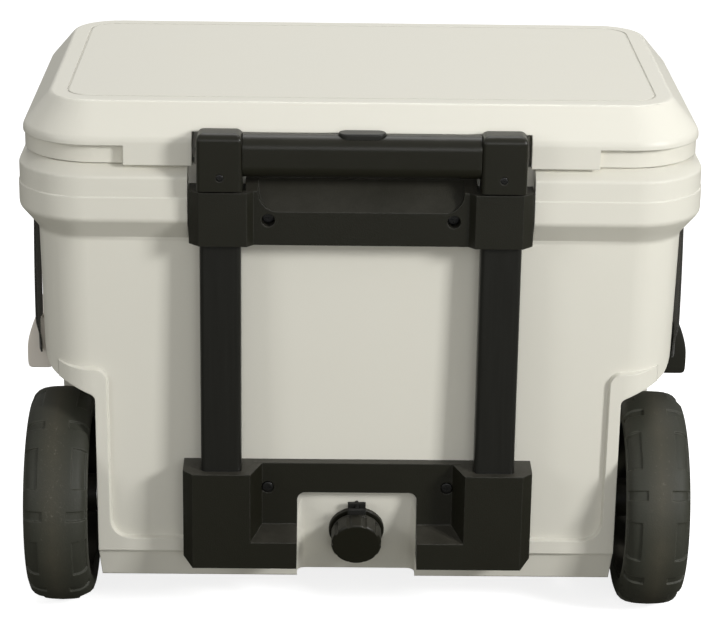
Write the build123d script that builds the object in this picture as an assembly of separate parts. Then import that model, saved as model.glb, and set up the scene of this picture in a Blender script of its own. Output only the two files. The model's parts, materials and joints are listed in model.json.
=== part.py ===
from build123d import *
import os
from math import cos, pi, radians, sin, tan

# Hard cooler on two wheels, with a telescoping pull handle on its near side.
# Frame: +X to the right seen from the handle side, -Y towards the handle side, +Z up.
# The origin is on the floor, under the middle of the whole object. Millimetres.
# "left" is -X and "right" is +X. Each right-hand piece is mirrored to make the left one.

# ---- overall sizes ----
rim_length = 648.0
rim_depth = 397.0
rim_mid_y = 7.0
wall_height = 352.0
rim_corner = 68.0

# ---- levels of the tub, from the floor up ----
ground_clearance = 38.0
skirt_height = 27.0
rim_underside_rise = 22.0
rim_band_height = 42.0
rim_shoulder_rise = 9.5
parting_line_height = 23.0
parting_step = 0.7

# ---- roundings of the tub's creases ----
rim_low_round = 9.0
wall_top_round = 10.0
rim_high_round = 3.5
skirt_round = 2.0
base_round = 3.0
seat_round = 2.0

# ---- how far the tub's faces stand back from its rim ----
wall_setback = 18.0
wall_draft = 7.0
skirt_taper = 6.0
shoulder_setback = 16.0

# ---- walls ----
skin = 3.5
liner_skin = 3.0
insulation = 46.5
floor_insulation = 41.5
cavity_taper = 36.0
cavity_near_taper = 4.0
cavity_corner = 40.0

# ---- lid ----
lid_gap = 1.0
lid_setback = 5.0
lid_skirt_height = 24.5
lid_chamfer_height = 30.5
lid_chamfer_run = 26.0
lid_corner = 66.0
lid_top_corner = 45.0
lid_crease_radius = 6.0  # rounding round the flat top
lid_shoulder_radius = 10.0  # rounding between the upright edge and the slope
lid_skin = 3.0
lid_panel_margin = 16.0
lid_panel_corner = 25.0
groove_width = 1.6
groove_depth = 0.9
finger_recess_depth = 8.0
finger_recess_height = 18.5
tab_outer_x = rim_length / 2 - 103.5
notch_half = 157.0
notch_depth = 28.0
notch_height = 31.0
plug_depth = 18.0
plug_gap = 6.0
gasket_width = 8.0
gasket_height = 3.0
gasket_gap = 0.1

# ---- lid hinges ----
hinge_x = rim_length / 2 - 144.0
hinge_length = 64.0
knuckle_radius = 7.0
hinge_pin_radius = 2.5
hinge_pin_clearance = 0.05
knuckle_gap = 0.5
leaf_thickness = 3.0

# ---- wheels ----
wheel_radius = 106.0
wheel_width = 65.0
wheel_inner_x = rim_length / 2 - 65.0
wheel_y = rim_mid_y - rim_depth / 2 + 76.0
tyre_thickness = 26.0
axle_radius = 8.0
axle_clearance = 0.06
well_wall_x = wheel_inner_x - 7.0
well_gap = 19.0
well_roof_slope = 24.0
tread_repeats = 7
tread_depth = 2.0

# ---- telescoping handle ----
tube_x = 130.7
outer_tube = (38.6, 20.0)
tube_corner = 4.5
outer_tube_wall = 2.0
mid_tube_wall = 1.8
inner_tube_wall = 1.6
tube_slide_gap = 0.3
bracket_proud = 8.0
upper_plate_rise = 7.5
scoop_depth = 19.6
bracket_fit = 0.1
grip_height = 40.0
grip_depth = 27.0
grip_cap_width = 42.0
button_length = 44.0
button_width = 17.0
button_travel = 4.0
button_gap = 0.3

# ---- drain ----
drain_tilt = 17.0
drain_bore_radius = 9.0
spout_radius = 14.0
spout_tail_radius = 11.0
spout_clearance = 0.2
drain_flange_radius = 27.0
drain_cap_radius = 24.5
drain_cap_length = 18.5
drain_height = 50.0
pocket_half = 58.0
pocket_height = 97.5

# ---- carry handles at the ends ----
carry_span = 133.0
carry_strap_width = 25.0
carry_strap_thickness = 2.4
carry_drop = 163.0
carry_grip_length = 136.0
carry_grip_width = 22.0
carry_grip_height = 28.0
carry_pin_radius = 2.0
carry_pin_clearance = 0.06

# ---- fasteners ----
screw_head_radius = 5.4
screw_head_height = 3.2
screw_radius = 2.4
touch = 0.1

# ---- worked out from the sizes above ----
rim_near = rim_mid_y - rim_depth / 2
rim_far = rim_mid_y + rim_depth / 2
base_z = ground_clearance
skirt_z = base_z + skirt_height
wall_top_z = base_z + wall_height
rim_low_z = wall_top_z + rim_underside_rise
rim_high_z = rim_low_z + rim_band_height
seat_z = rim_high_z + rim_shoulder_rise
lid_low_z = seat_z + lid_gap
lid_chamfer_z = lid_low_z + lid_skirt_height
lid_top_z = lid_chamfer_z + lid_chamfer_height
wheel_z = wheel_radius
tube_near = rim_near - 8.0
tube_mid_y = tube_near + outer_tube[1] / 2
bracket_near = tube_near - bracket_proud
well_roof_z = wheel_z + wheel_radius + well_gap
hinge_y = rim_far + knuckle_radius + 2.0
hinge_z = seat_z + lid_gap / 2
cavity_floor_z = base_z + skin + floor_insulation + liner_skin


def ring(z, half_length, near, far, radius):
    """Rounded-rectangle section at height z."""
    return Pos(0, (near + far) / 2, z) * RectangleRounded(2 * half_length, far - near, radius)


def rim_ring(z, setback, radius):
    """Section of the box, set back evenly from the rim's outline."""
    return ring(z, rim_length / 2 - setback, rim_near + setback, rim_far - setback, radius)


def stack(*sections):
    """Solid with straight sides through its sections."""
    return loft(list(sections), ruled=True)


def box(x0, x1, y0, y1, z0, z1):
    """Block between two corners."""
    size = Box(x1 - x0, y1 - y0, z1 - z0)
    return Pos((x0 + x1) / 2, (y0 + y1) / 2, (z0 + z1) / 2) * size


def prism_x(points, x0, x1):
    """Outline of (y, z) points, carried along X from x0 to x1."""
    face = make_face(Plane.YZ * Polyline(*points, close=True))
    return Pos(x0, 0, 0) * extrude(face, amount=x1 - x0, dir=(1, 0, 0))


def prism_y(points, y0, y1):
    """Outline of (x, z) points, carried along Y from y0 to y1."""
    corners = [Vector(x, 0, z) for x, z in points]
    face = make_face(Polyline(*corners, close=True))
    return Pos(0, y0, 0) * extrude(face, amount=y1 - y0, dir=(0, 1, 0))


def rod_x(radius, x0, x1, y, z):
    """Round bar along X."""
    return Pos((x0 + x1) / 2, y, z) * Rot(0, 90, 0) * Cylinder(radius, x1 - x0)


def rod_y(radius, y0, y1, x, z):
    """Round bar along Y."""
    return Pos(x, (y0 + y1) / 2, z) * Rot(90, 0, 0) * Cylinder(radius, y1 - y0)


def mirrored(part):
    """The same piece on the other side of the object."""
    return mirror(part, about=Plane.YZ)


def both(part):
    """A right-hand piece with its left-hand twin, as separate solids."""
    return part + mirrored(part)


nodes = {}


def keep(name, part):
    """Name a finished piece."""
    nodes[name] = part


def keep_pair(name, part):
    """Name a right-hand piece and its left-hand twin."""
    keep(name + "_right", part)
    keep(name + "_left", mirrored(part))


# ================= tub =================
def tub_form(inset):
    """The tub's outer form without its cut-outs, moved inwards by inset."""
    wall_corner = rim_corner - wall_setback
    top = seat_z if inset == 0 else seat_z + skin
    levels = [
        (base_z + inset, wall_setback + wall_draft + skirt_taper, wall_corner - wall_draft),
        (skirt_z, wall_setback + wall_draft, wall_corner - wall_draft),
        (wall_top_z, wall_setback, wall_corner),
        (rim_low_z, 0.0, rim_corner),
        (rim_low_z + parting_line_height - parting_step, 0.0, rim_corner),
        (rim_low_z + parting_line_height, parting_step, rim_corner),
        (rim_high_z, parting_step, rim_corner),
        (seat_z, shoulder_setback, rim_corner - shoulder_setback),
    ]
    sections = [rim_ring(z, back + inset, corner - inset) for z, back, corner in levels]
    if inset > 0:
        back = shoulder_setback + inset
        sections.append(rim_ring(top, back, rim_corner - back))
    return stack(*sections)


def level_edges(part, z):
    """Edges of a piece that run round it at height z."""
    return [e for e in part.edges() if abs(e.bounding_box().min.Z - z) + abs(e.bounding_box().max.Z - z) < 0.02]


def softened_tub_form():
    """The tub's outer form with its creases rounded."""
    form = tub_form(0.0)
    creases = [(rim_low_z, rim_low_round), (wall_top_z, wall_top_round), (rim_high_z, rim_high_round),
               (skirt_z, skirt_round), (base_z, base_round), (seat_z, seat_round)]
    for z, radius in creases:
        form = fillet(level_edges(form, z), radius)
    return form


def wheel_well(grow):
    """Space for the right wheel, cut from the tub's lower near corner."""
    beyond = rim_length / 2 + 40.0
    roof_run = 34.0
    corner_x = well_wall_x + roof_run
    corner_z = well_roof_z + roof_run * tan(radians(well_roof_slope))
    side_x = rim_length / 2 - wall_setback - wall_draft / 2
    outline = (
        Polyline((beyond, 0), (well_wall_x - 2.5, 0), (well_wall_x - 2.5, base_z),
                 (well_wall_x, skirt_z), (well_wall_x, well_roof_z), (corner_x, corner_z))
        + ThreePointArc((corner_x, corner_z), (corner_x + 12.0, corner_z + 8.5),
                        (side_x, corner_z + 22.0))
        + Polyline((side_x, corner_z + 22.0), (beyond, corner_z + 22.0), (beyond, 0))
    )
    face = make_face(outline)
    inner_corner = face.vertices().sort_by_distance((well_wall_x, well_roof_z, 0))[0]
    face = fillet(inner_corner, 7.0)
    if grow > 0:
        face = offset(face, amount=grow)
    depth = wheel_radius + well_gap
    front_view = Plane.XZ.offset(300.0) * face
    across = extrude(front_view, amount=-(300.0 + wheel_y + depth + grow))
    reach = 2 * (depth + 100.0 + grow)
    side = Rectangle(reach, 2 * (corner_z + 30.0 + grow))
    side = Pos(0, wheel_y + depth + grow - reach / 2, 0) * (Plane.YZ * fillet(side.vertices(), 60.0))
    return across & extrude(side, amount=beyond + 5.0 + grow, dir=(1, 0, 0))


def drain_pocket(grow):
    """Sloping pocket in the near wall, round the drain."""
    mouth = rim_near - 40.0
    top_y = rim_near + wall_setback + 3.0
    slope = tan(radians(drain_tilt))
    top_z = base_z + pocket_height
    outline = [
        (mouth, -10.0),
        (top_y + (top_z + 10.0) * slope + grow, -10.0),
        (top_y + grow, top_z + grow),
        (mouth, top_z + grow),
    ]
    pocket = prism_x(outline, -pocket_half - grow, pocket_half + grow)
    long_edges = pocket.edges().filter_by(lambda e: abs(e.center().X) > pocket_half - 1.0)
    back_edges = long_edges.sort_by(Axis.Y)[-2:]
    return fillet(back_edges, 8.0)


def handle_recess(grow):
    """Straight step in the rim, behind the pull handle."""
    half = tube_x + outer_tube[0] / 2 + 11.0
    back = rim_near + wall_setback - 1.0
    return box(-half - grow, half + grow, rim_near - 20.0, back + grow, wall_top_z - 5.0, seat_z + 20.0)


def tub_body(inset):
    """The tub's outer form with its wheel wells, drain pocket and handle step."""
    body = tub_form(inset) if inset else softened_tub_form()
    well = wheel_well(inset)
    body = body - well - mirrored(well)
    body = body - drain_pocket(inset)
    return body - handle_recess(inset)


def wheel_housing_pad():
    """Raised U round the lower wall: both wheel housings and the band that joins them."""
    proud = 5.0
    top_z = base_z + 225.0
    band_z = base_z + 48.0
    inner_x = 236.0
    outer_x = rim_length / 2 - 6.0
    outline = make_face(Polyline(
        (-outer_x, skirt_z), (outer_x, skirt_z), (outer_x, top_z), (inner_x, top_z),
        (inner_x, band_z), (-inner_x, band_z), (-inner_x, top_z), (-outer_x, top_z), close=True))
    inner_corners = [v for v in outline.vertices() if abs(abs(v.X) - inner_x) < 0.1]
    outline = fillet(inner_corners, 16.0)
    root_y = rim_near + wall_setback + 14.0
    teeth = extrude(Plane.XZ.offset(-root_y) * outline, amount=proud + 17.0, taper=18.0)
    low_near = rim_near + wall_setback + wall_draft - proud
    high_near = low_near - wall_draft * (top_z - skirt_z) / (wall_top_z - skirt_z)
    half = rim_length / 2 - wall_setback - wall_draft
    layer = stack(ring(skirt_z, half, low_near, rim_mid_y, 46.0),
                  ring(top_z + 5.0, half, high_near, rim_mid_y, 46.0))
    return layer & teeth


def handle_upstand():
    """Raised lip of the rim behind the grip."""
    half = notch_half - 2.0
    near = rim_near + wall_setback
    lip = box(-half, half, near, near + 13.0, seat_z - 8.0, seat_z + 12.5)
    top_edges = lip.edges().filter_by(Axis.X).sort_by(Axis.Z)[-2:]
    return fillet(top_edges, 5.0)


def cavity(grow):
    """The space for the load, or the outside of its liner with grow."""
    top_back = wall_setback + skin + insulation + liner_skin - grow
    half = rim_length / 2 - top_back
    near = rim_near + top_back
    far = rim_far - top_back
    corner = cavity_corner + grow
    low = ring(cavity_floor_z - grow, half - cavity_taper, near + cavity_near_taper,
               far - cavity_near_taper, corner)
    high = ring(seat_z + 1.0, half, near, far, corner)
    return loft([low, high])


def along_drain(distance):
    """Point on the drain's axis, counted outwards from the pocket's wall."""
    slope = radians(drain_tilt)
    start_z = base_z + drain_height
    top_y = rim_near + wall_setback + 3.0
    start_y = top_y + (base_z + pocket_height - start_z) * tan(slope)
    return Vector(0, start_y - distance * cos(slope), start_z - distance * sin(slope))


def drain_plane(distance):
    """Plane square to the drain's axis, facing outwards."""
    slope = radians(drain_tilt)
    return Plane(along_drain(distance), x_dir=(1, 0, 0), z_dir=(0, -cos(slope), -sin(slope)))


def drain_round(radius, start, end):
    """Round bar on the drain's axis."""
    return drain_plane(start) * Pos(0, 0, (end - start) / 2) * Cylinder(radius, end - start)


# ---- screws that hold the brackets and hinges ----
def screw_along_y(x, y, z, length, outward):
    """Screw along Y; y is the under-side of its head, outward is the head's side."""
    head_z = screw_head_height
    shank = rod_y(screw_radius, min(y, y - outward * length), max(y, y - outward * length), x, z)
    head = rod_y(screw_head_radius, min(y, y + outward * head_z), max(y, y + outward * head_z), x, z)
    outer_rim = head.edges().sort_by(Axis.Y)
    head = fillet(outer_rim[0] if outward < 0 else outer_rim[-1], 1.0)
    socket_y = y + outward * head_z
    slots = (
        box(x - 3.2, x + 3.2, socket_y - 1.8, socket_y + 1.8, z - 0.6, z + 0.6)
        + box(x - 0.6, x + 0.6, socket_y - 1.8, socket_y + 1.8, z - 3.2, z + 3.2)
    )
    return shank + head - slots


def screw_hole(x, y, z, length, outward, gap):
    """Hole for a screw's shank."""
    end = y - outward * length
    return rod_y(screw_radius + gap, min(y, end), max(y, end), x, z)


lower_screw_x = 86.7
lower_screw_z = base_z + 102.8
lower_plate_near = tube_near + 20.0
upper_screw_x = 86.0
upper_screw_z = base_z + 378.8
upper_plate_near = tube_near - 1.0
upper_screw_seat = tube_near + 12.0
bracket_screw_length = 34.0
tub_hinge_screw_z = rim_low_z + 14.0
lid_hinge_screw_z = lid_low_z + 14.0
hinge_screw_pitch = 40.0


def bracket_screws():
    """Four screws that fasten the two brackets to the tub."""
    low = screw_along_y(lower_screw_x, lower_plate_near + 3.0, lower_screw_z, bracket_screw_length, -1)
    high = screw_along_y(upper_screw_x, upper_screw_seat, upper_screw_z, bracket_screw_length, -1)
    return low, high


def bracket_screw_holes():
    """Holes of the four bracket screws in the tub's walls."""
    low = screw_hole(lower_screw_x, lower_plate_near, lower_screw_z, bracket_screw_length + 3.4, -1, touch)
    high = screw_hole(upper_screw_x, upper_screw_seat, upper_screw_z, bracket_screw_length + 0.4, -1, touch)
    return both(low) + both(high)


def hinge_screw_places():
    """X places of one hinge's screws."""
    return [hinge_x - hinge_screw_pitch / 2, hinge_x + hinge_screw_pitch / 2]


def hinge_screws(y, z, length):
    """Screws of both hinges, through one of their leaves."""
    row = [screw_along_y(x, y, z, length, 1) for x in hinge_screw_places()]
    return both(row[0]) + both(row[1])


def hinge_screw_holes(y, z, length):
    """Holes for those screws."""
    row = [screw_hole(x, y, z, length, 1, touch) for x in hinge_screw_places()]
    return both(row[0]) + both(row[1])


hinge_screw_length = 14.0
tub_leaf_y = rim_far + leaf_thickness
lid_far = rim_far - lid_setback
lid_leaf_y = lid_far + leaf_thickness

# ---- axle sockets ----
axle_root_x = well_wall_x - 24.0


def axle_sockets():
    """Holes for the stub axles in the tub's walls."""
    return both(rod_x(axle_radius + touch, axle_root_x - touch, well_wall_x + 5.0, wheel_y, wheel_z))


def tub_parts():
    """Outer shell, insulation and liner."""
    outside = tub_body(0.0)
    inside = tub_body(skin)
    upstand = handle_upstand()
    liner_outside = cavity(liner_skin)
    flange_z = seat_z - liner_skin
    above = box(-400, 400, -300, 300, flange_z, seat_z + 40.0)
    top_slab = box(-400, 400, -300, 300, flange_z, seat_z)
    below_seat = box(-400, 400, -300, 300, 0, seat_z)
    spout_way = drain_round(spout_tail_radius + spout_clearance, -75.0, 8.0)
    holes = bracket_screw_holes() + axle_sockets()
    holes += hinge_screw_holes(tub_leaf_y, tub_hinge_screw_z, hinge_screw_length + touch + leaf_thickness)
    parting = rim_low_z + parting_line_height

    shell = outside + wheel_housing_pad()
    well = wheel_well(0.0)
    shell = shell - well - mirrored(well) - drain_pocket(0.0)
    shell = shell - inside + upstand
    shell = shell - holes - spout_way
    foam = inside - above - upstand - liner_outside - holes - spout_way
    spout_hole = drain_round(spout_tail_radius + spout_clearance, -62.0, -24.0)
    liner = (liner_outside & below_seat) - cavity(0.0) - spout_hole
    liner = liner + ((inside & top_slab) - upstand - cavity(0.0))
    keep("tub_shell", shell)
    keep("tub_insulation", foam)
    keep("tub_liner", liner)


# ================= lid =================
def lid_form(inset):
    """The lid's outer form, moved inwards by inset."""
    top_back = lid_setback + lid_chamfer_run
    levels = [
        (lid_low_z, lid_setback + inset, lid_corner - inset),
        (lid_chamfer_z, lid_setback + inset, lid_corner - inset),
        (lid_top_z - inset, top_back + inset / 2, lid_top_corner),
    ]
    form = stack(*[rim_ring(z, back, corner) for z, back, corner in levels])
    if inset > 0:
        return form
    creases = [e for e in form.edges() if abs(e.center().Z - lid_top_z) < 0.1]
    form = fillet(creases, lid_crease_radius)
    shoulders = [e for e in form.edges() if abs(e.center().Z - lid_chamfer_z) < 0.1]
    return fillet(shoulders, lid_shoulder_radius)


def lid_cuts(grow):
    """Finger recesses at the near corners and the notch behind the grip."""
    top_z = lid_low_z + finger_recess_height + grow
    half = rim_length / 2 - lid_setback
    back = rim_near + lid_setback + finger_recess_depth
    outer = box(-half - 20.0, half + 20.0, rim_near - 20.0, rim_mid_y, lid_low_z - 1.0, top_z)
    rest = stack(ring(lid_low_z - 2.0, half, back + grow, rim_far, lid_corner + 6.0),
                 ring(top_z + 2.0, half, back + grow, rim_far, lid_corner + 6.0))
    middle = box(-tab_outer_x + grow, tab_outer_x - grow, -400, 400, 0, 600)
    recess = outer - rest - middle
    notch_back = rim_near + lid_setback + notch_depth + grow
    notch_top = lid_low_z + notch_height + grow
    notch = box(-notch_half - grow, notch_half + grow, rim_near - 20.0, notch_back, lid_low_z - 1.0, notch_top)
    return recess + notch


def lid_panel_groove():
    """Thin line round the flat top of the lid."""
    back = lid_setback + lid_chamfer_run + lid_panel_margin
    low = lid_top_z - groove_depth
    outline = rim_ring(low, back, lid_panel_corner) - rim_ring(low, back + groove_width, lid_panel_corner - groove_width)
    return extrude(outline, amount=groove_depth + 2.0, dir=(0, 0, 1))


def gasket_ring(grow):
    """Band that the lid's seal fills."""
    back = wall_setback + skin + insulation / 2 + 8.0
    wide = rim_ring(0, back - grow, cavity_corner + 22.0)
    thin = rim_ring(0, back + gasket_width + grow, cavity_corner + 14.0)
    return wide - thin


def lid_parts():
    """Lid shell, its insulation, its inner panel and the seal."""
    half = rim_length / 2
    inside = lid_form(lid_skin) - lid_cuts(lid_skin)
    shell = lid_form(0.0) - lid_cuts(0.0) - inside - lid_panel_groove()
    shell -= hinge_screw_holes(lid_leaf_y, lid_hinge_screw_z, hinge_screw_length + leaf_thickness)
    plate_z = lid_low_z + liner_skin
    plug_back = wall_setback + skin + insulation + liner_skin + plug_gap
    plug_low_z = lid_low_z - plug_depth
    plug_draft = 3.0

    def plug(shrink, top):
        low = rim_ring(plug_low_z + shrink, plug_back + plug_draft + shrink, cavity_corner - shrink)
        high = rim_ring(top, plug_back + shrink, cavity_corner - shrink)
        return loft([low, high])

    plate_layer = box(-half, half, rim_near, rim_far, lid_low_z, plate_z)
    above = box(-half, half, rim_near, rim_far, plate_z, lid_top_z)
    gasket_low = seat_z + gasket_gap
    groove_top = lid_low_z + gasket_height - 1.0
    groove = Pos(0, 0, lid_low_z - 1.0) * extrude(gasket_ring(touch), amount=groove_top + 1.0 - lid_low_z)
    plug_inside = plug(liner_skin, plate_z + 1.0)
    panel = (inside & plate_layer) + plug(0.0, lid_low_z + 1.0) - plug_inside - groove
    foam = (inside & above) + (plug_inside - above)
    foam -= hinge_screw_holes(lid_leaf_y, lid_hinge_screw_z, hinge_screw_length + touch + leaf_thickness)
    gasket = Pos(0, 0, gasket_low) * extrude(gasket_ring(0.0), amount=groove_top - touch - gasket_low)
    keep("lid_shell", shell)
    keep("lid_insulation", foam)
    keep("lid_inner_panel", panel)
    keep("lid_gasket", gasket)


# ================= lid hinges =================
def hinge_parts():
    """One right-hand hinge: a leaf on the tub, a leaf on the lid and their pin."""
    x0 = hinge_x - hinge_length / 2
    x1 = hinge_x + hinge_length / 2
    third = hinge_length / 3
    bore = rod_x(hinge_pin_radius + hinge_pin_clearance, x0 - 1.0, x1 + 1.0, hinge_y, hinge_z)

    tub_plate = box(x0, x1, rim_far, tub_leaf_y, rim_low_z + 4.0, rim_high_z - 4.0)
    arm = [(rim_far, rim_high_z - 16.0), (tub_leaf_y, rim_high_z - 16.0),
           (hinge_y + knuckle_radius * 0.7, hinge_z - knuckle_radius * 0.7), (hinge_y, hinge_z),
           (hinge_y - knuckle_radius * 0.8, hinge_z - knuckle_radius * 0.6), (rim_far, rim_high_z - 4.0)]
    tub_leaf = tub_plate
    for start, end in ((x0, x0 + third), (x1 - third, x1)):
        tub_leaf += prism_x(arm, start, end) + rod_x(knuckle_radius, start, end, hinge_y, hinge_z)

    lid_plate = box(x0, x1, lid_far, lid_leaf_y, lid_low_z + 4.0, lid_chamfer_z - 2.0)
    lid_arm = [(lid_far, lid_low_z + 4.0), (hinge_y - knuckle_radius * 0.6, hinge_z - knuckle_radius * 0.5),
               (hinge_y, hinge_z), (hinge_y + knuckle_radius * 0.6, hinge_z + knuckle_radius * 0.7),
               (lid_leaf_y, lid_low_z + 16.0), (lid_far, lid_low_z + 16.0)]
    middle = (x0 + third + knuckle_gap, x1 - third - knuckle_gap)
    lid_leaf = lid_plate + prism_x(lid_arm, *middle)
    lid_leaf += rod_x(knuckle_radius, *middle, hinge_y, hinge_z)
    for start, end in ((x0 - 1.0, middle[0]), (middle[1], x1 + 1.0)):
        lid_leaf -= rod_x(knuckle_radius + 1.0, start, end, hinge_y, hinge_z)
    tub_leaf -= rod_x(knuckle_radius + 1.0, middle[0] - knuckle_gap, middle[1] + knuckle_gap, hinge_y, hinge_z)

    tub_holes = hinge_screw_holes(tub_leaf_y, tub_hinge_screw_z, 30.0)
    lid_holes = hinge_screw_holes(lid_leaf_y, lid_hinge_screw_z, 30.0)
    pin = rod_x(hinge_pin_radius, x0 - 1.5, x1 + 1.5, hinge_y, hinge_z)
    pin += rod_x(hinge_pin_radius + 1.6, x0 - 3.0, x0 - 0.1, hinge_y, hinge_z)
    keep_pair("hinge_tub_leaf", tub_leaf - bore - tub_holes)
    keep_pair("hinge_lid_leaf", lid_leaf - bore - lid_holes)
    keep_pair("hinge_pin", pin)
    keep("hinge_tub_screws", hinge_screws(tub_leaf_y, tub_hinge_screw_z, hinge_screw_length))
    keep("hinge_lid_screws", hinge_screws(lid_leaf_y, lid_hinge_screw_z, hinge_screw_length))


# ================= pull handle =================
def tube_bar(size, low, high, corner):
    """Solid bar with a tube's outline, on the right tube's line."""
    outline = RectangleRounded(size[0], size[1], corner)
    return Pos(tube_x, tube_mid_y, low) * extrude(outline, amount=high - low)


def smaller(size, by):
    """Tube outline less by on each side."""
    return (size[0] - 2 * by, size[1] - 2 * by)


def tube(size, wall, low, high, corner):
    """Hollow tube on the right tube's line."""
    bore = tube_bar(smaller(size, wall), low - 1.0, high + 1.0, max(corner - wall, 0.6))
    return tube_bar(size, low, high, corner) - bore


mid_tube = smaller(outer_tube, outer_tube_wall + tube_slide_gap)
inner_tube = smaller(mid_tube, mid_tube_wall + tube_slide_gap)
boot_low_z = base_z + 29.0
boot_top_z = base_z + 128.0
plate_low_z = base_z + 97.5
collar_low_z = wall_top_z + 3.0
collar_top_z = wall_top_z + 54.6
outer_tube_low = boot_low_z + 8.0
outer_tube_high = collar_top_z - 6.0
mid_tube_low = outer_tube_low + 6.0
mid_tube_high = collar_top_z + 1.0
inner_tube_low = mid_tube_low + 6.0
cap_low_z = wall_top_z + 57.0
cap_top_z = wall_top_z + 111.2
inner_tube_high = cap_top_z - 12.0
grip_mid_z = wall_top_z + 88.5
grip_mid_y = tube_near + 3.0
cap_near = tube_near - 12.0
link_depth = 4.0
link_height = 5.0
link_mid_y = tube_mid_y - 1.8
link_top_z = grip_mid_z + 6.0
link_low_z = link_top_z - link_height
button_top_z = grip_mid_z + grip_height / 2 + 2.5
spring_floor_z = grip_mid_z - 11.0


def bracket_back(block):
    """A bracket cut to sit on the tub."""
    gap = bracket_fit
    stand = tub_form(-gap) - handle_recess(-gap) - drain_pocket(-gap)
    pad = Pos(0, -gap, 0) * wheel_housing_pad()
    return block - stand - (pad - drain_pocket(-gap))


def boot():
    """Right boot of the lower bracket, which holds the outer tube's foot."""
    outer_x = tube_x + 36.8
    near = bracket_near
    back = tube_near + 46.0
    chamfer_xy = 9.5
    plan = make_face(Polyline(
        (92.0, back), (92.0, tube_near + 20.0), (tube_x - 28.0, near), (outer_x - chamfer_xy, near),
        (outer_x, near + chamfer_xy), (outer_x, back), close=True))
    block = Pos(0, 0, boot_low_z) * extrude(plan, amount=boot_top_z - boot_low_z)
    corner_cut = prism_y([(outer_x - 10.0, boot_low_z - 1.0), (outer_x + 1.0, boot_low_z - 1.0),
                          (outer_x + 1.0, boot_low_z + 10.0)], near - 1.0, back + 1.0)
    top_slope = prism_x([(near - 1.0, boot_top_z - 1.5), (back, boot_top_z + 1.0), (near - 1.0, boot_top_z + 1.0)],
                        60.0, outer_x + 1.0)
    return block - corner_cut - top_slope


def lower_bracket():
    """Bracket that ties both tube feet to the tub, round the drain pocket."""
    near = bracket_near
    plate_back = tube_near + 44.0
    plate = box(-100.0, 100.0, lower_plate_near, plate_back, plate_low_z, boot_top_z)
    ear = box(pocket_half, 100.0, lower_plate_near, plate_back, boot_low_z, boot_top_z)
    ledge = prism_x([(near, boot_low_z), (plate_back, boot_low_z), (plate_back, boot_low_z + 36.0),
                     (lower_plate_near, boot_low_z + 35.0), (near, boot_low_z + 27.0)],
                    pocket_half, 112.0)
    side = boot() + ear + ledge
    bracket = plate + side + mirrored(side)
    inside_corner = [e for e in bracket.edges().filter_by(Axis.Y)
                     if abs(abs(e.center().X) - pocket_half) < 0.2 and abs(e.center().Z - plate_low_z) < 0.2]
    if inside_corner:
        bracket = fillet(inside_corner, 8.0)
    seat = rod_y(screw_head_radius + 0.6, near, lower_plate_near + 3.0, lower_screw_x, lower_screw_z)
    hole = screw_hole(lower_screw_x, lower_plate_near, lower_screw_z, 60.0, -1, touch)
    socket = tube_bar(smaller(outer_tube, -bracket_fit), outer_tube_low - touch, boot_top_z + 5.0,
                      tube_corner + bracket_fit)
    return bracket_back(bracket) - both(seat) - both(hole) - both(socket)


def upper_bracket():
    """Crosspiece under the rim with a collar for each tube."""
    near = bracket_near
    outer_x = tube_x + 29.0
    collar_in_x = tube_x - 25.0
    web_x = collar_in_x - 6.0
    back = rim_near + wall_setback + 10.0
    plan = make_face(Polyline(
        (-web_x, upper_plate_near), (web_x, upper_plate_near), (collar_in_x, near),
        (outer_x - 10.0, near), (outer_x, near + 10.0), (outer_x, back), (-outer_x, back),
        (-outer_x, near + 10.0), (-outer_x + 10.0, near), (-collar_in_x, near), close=True))
    block = Pos(0, 0, collar_low_z) * extrude(plan, amount=collar_top_z - collar_low_z)
    wall_y = rim_near + wall_setback
    rise_half = tube_x - grip_cap_width / 2 - 2.5
    block += prism_x([(upper_plate_near, collar_top_z - 1.0), (upper_plate_near, collar_top_z),
                      (wall_y - 5.0, collar_top_z + upper_plate_rise), (back, collar_top_z + upper_plate_rise),
                      (back, collar_top_z - 1.0)], -rise_half, rise_half)
    scoop_half = rise_half - 12.0
    scoop = prism_x([(near - 5.0, collar_top_z - scoop_depth), (upper_plate_near, collar_top_z - scoop_depth),
                     (wall_y - 8.0, collar_top_z + upper_plate_rise - 1.0), (wall_y - 8.0, collar_top_z + 30.0),
                     (near - 5.0, collar_top_z + 30.0)], -scoop_half, scoop_half)
    window = Rectangle(2 * scoop_half, 80.0)
    window = fillet(window.vertices(), 19.0)
    window = extrude(Plane.XZ.offset(20.0 - near) * Pos(0, collar_top_z + 20.4, 0) * window, amount=-60.0)
    block -= scoop & window
    outer_socket = tube_bar(smaller(outer_tube, -bracket_fit), collar_low_z - 5.0, outer_tube_high + touch,
                            tube_corner + bracket_fit)
    mid_way = tube_bar(smaller(mid_tube, -0.4), collar_low_z, collar_top_z + 30.0, tube_corner - 1.9)
    well = rod_y(6.25, near - 5.0, upper_screw_seat, upper_screw_x, upper_screw_z)
    hole = screw_hole(upper_screw_x, upper_plate_near, upper_screw_z, 60.0, -1, touch)
    block = block - both(outer_socket) - both(mid_way) - both(well) - both(hole)
    return bracket_back(block)


def grip_section(height, depth, corner):
    """Cross-section of the grip, on a plane square to X."""
    return Plane.YZ * RectangleRounded(depth, height, corner)


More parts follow.
